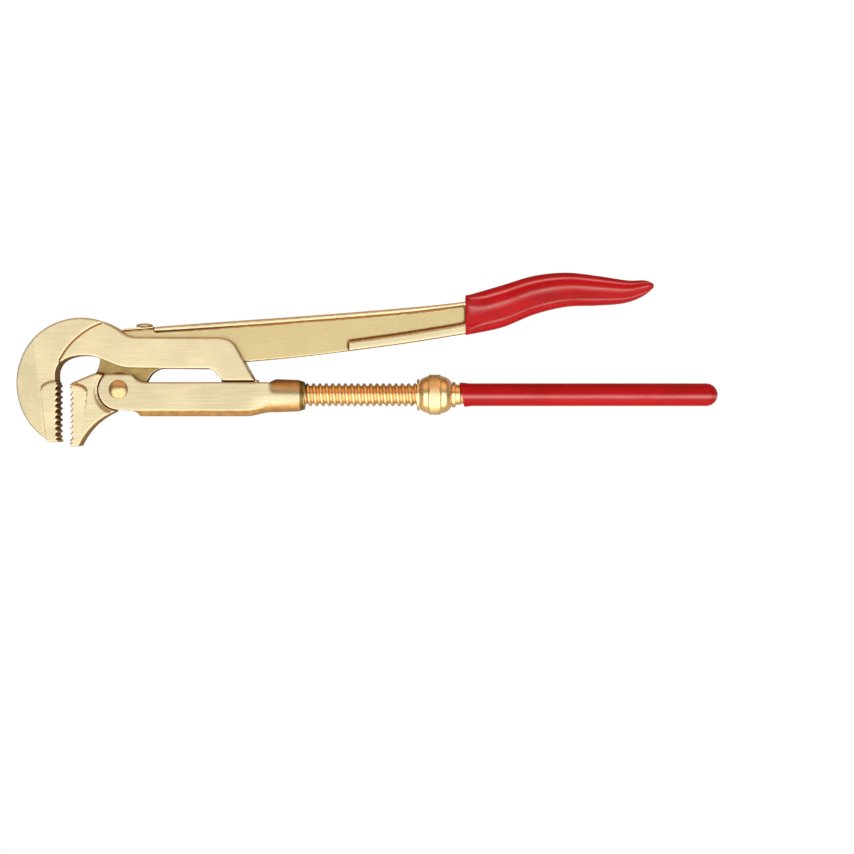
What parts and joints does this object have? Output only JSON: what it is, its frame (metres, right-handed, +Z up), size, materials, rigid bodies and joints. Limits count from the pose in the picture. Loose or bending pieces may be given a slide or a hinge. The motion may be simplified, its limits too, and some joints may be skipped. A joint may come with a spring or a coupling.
{
  "type": "pipe wrench",
  "caption": "Swedish-pattern pipe wrench with a toothed hook jaw square to its handles, a pivoting lever jaw, an adjusting nut on a threaded rod and dipped grips.",
  "frame": {"origin": "bottom centre of the bounding box, with the wrench lying on its side and its jaws as stored", "axes": "+X along the rod from the jaws to the handle ends, +Y from the rod towards the lever, +Z up through the thickness"},
  "size_m": [0.4252, 0.1054, 0.0254],
  "materials": {
    "cast_bronze": "cast aluminium bronze, fine satin blasted and lightly polished",
    "turned_bronze": "turned aluminium bronze, darker, with fine turning marks",
    "rivet_bronze": "polished bronze rivet heads",
    "spring_bronze": "rolled spring bronze strip",
    "dipped_plastic": "glossy red dipped vinyl"
  },
  "bodies": {
    "hook": {"hook_jaw": "cast_bronze", "adjusting_rod": "turned_bronze", "rod_cross_pin": "turned_bronze", "nut_stop_ring": "turned_bronze", "lower_grip": "dipped_plastic"},
    "frame": {"frame_sleeve": "cast_bronze", "pivot_rivet": "rivet_bronze"},
    "lever": {"lever_arm": "cast_bronze", "leaf_spring": "spring_bronze", "spring_rivet": "rivet_bronze", "upper_grip": "dipped_plastic"},
    "nut_carriage": {"nut_thrust_washer": "spring_bronze"},
    "nut": {"adjusting_nut": "turned_bronze"}
  },
  "joints": [
    {"name": "frame_slide", "type": "slide", "parent": "hook", "child": "frame", "axis": [1, 0, 0], "range_m": [0, 0.0375]},
    {"name": "lever_pivot", "type": "hinge", "parent": "frame", "child": "lever", "pos_m": [-0.15035, -0.01844, 0.0127], "axis": [0, 0, 1], "range_deg": [-5.5, 12]},
    {"name": "nut_travel", "type": "slide", "parent": "hook", "child": "nut_carriage", "axis": [-1, 0, 0], "range_m": [0, 0.03]},
    {"name": "nut_turn", "type": "hinge", "parent": "nut_carriage", "child": "nut", "pos_m": [0.04045, -0.02144, 0.0127], "axis": [-1, 0, 0], "range_deg": [0, 2804]}
  ],
  "couplings": [
    {"joint": "nut_travel", "follows": "nut_turn", "m_per_rad": 0.00061275}
  ]
}
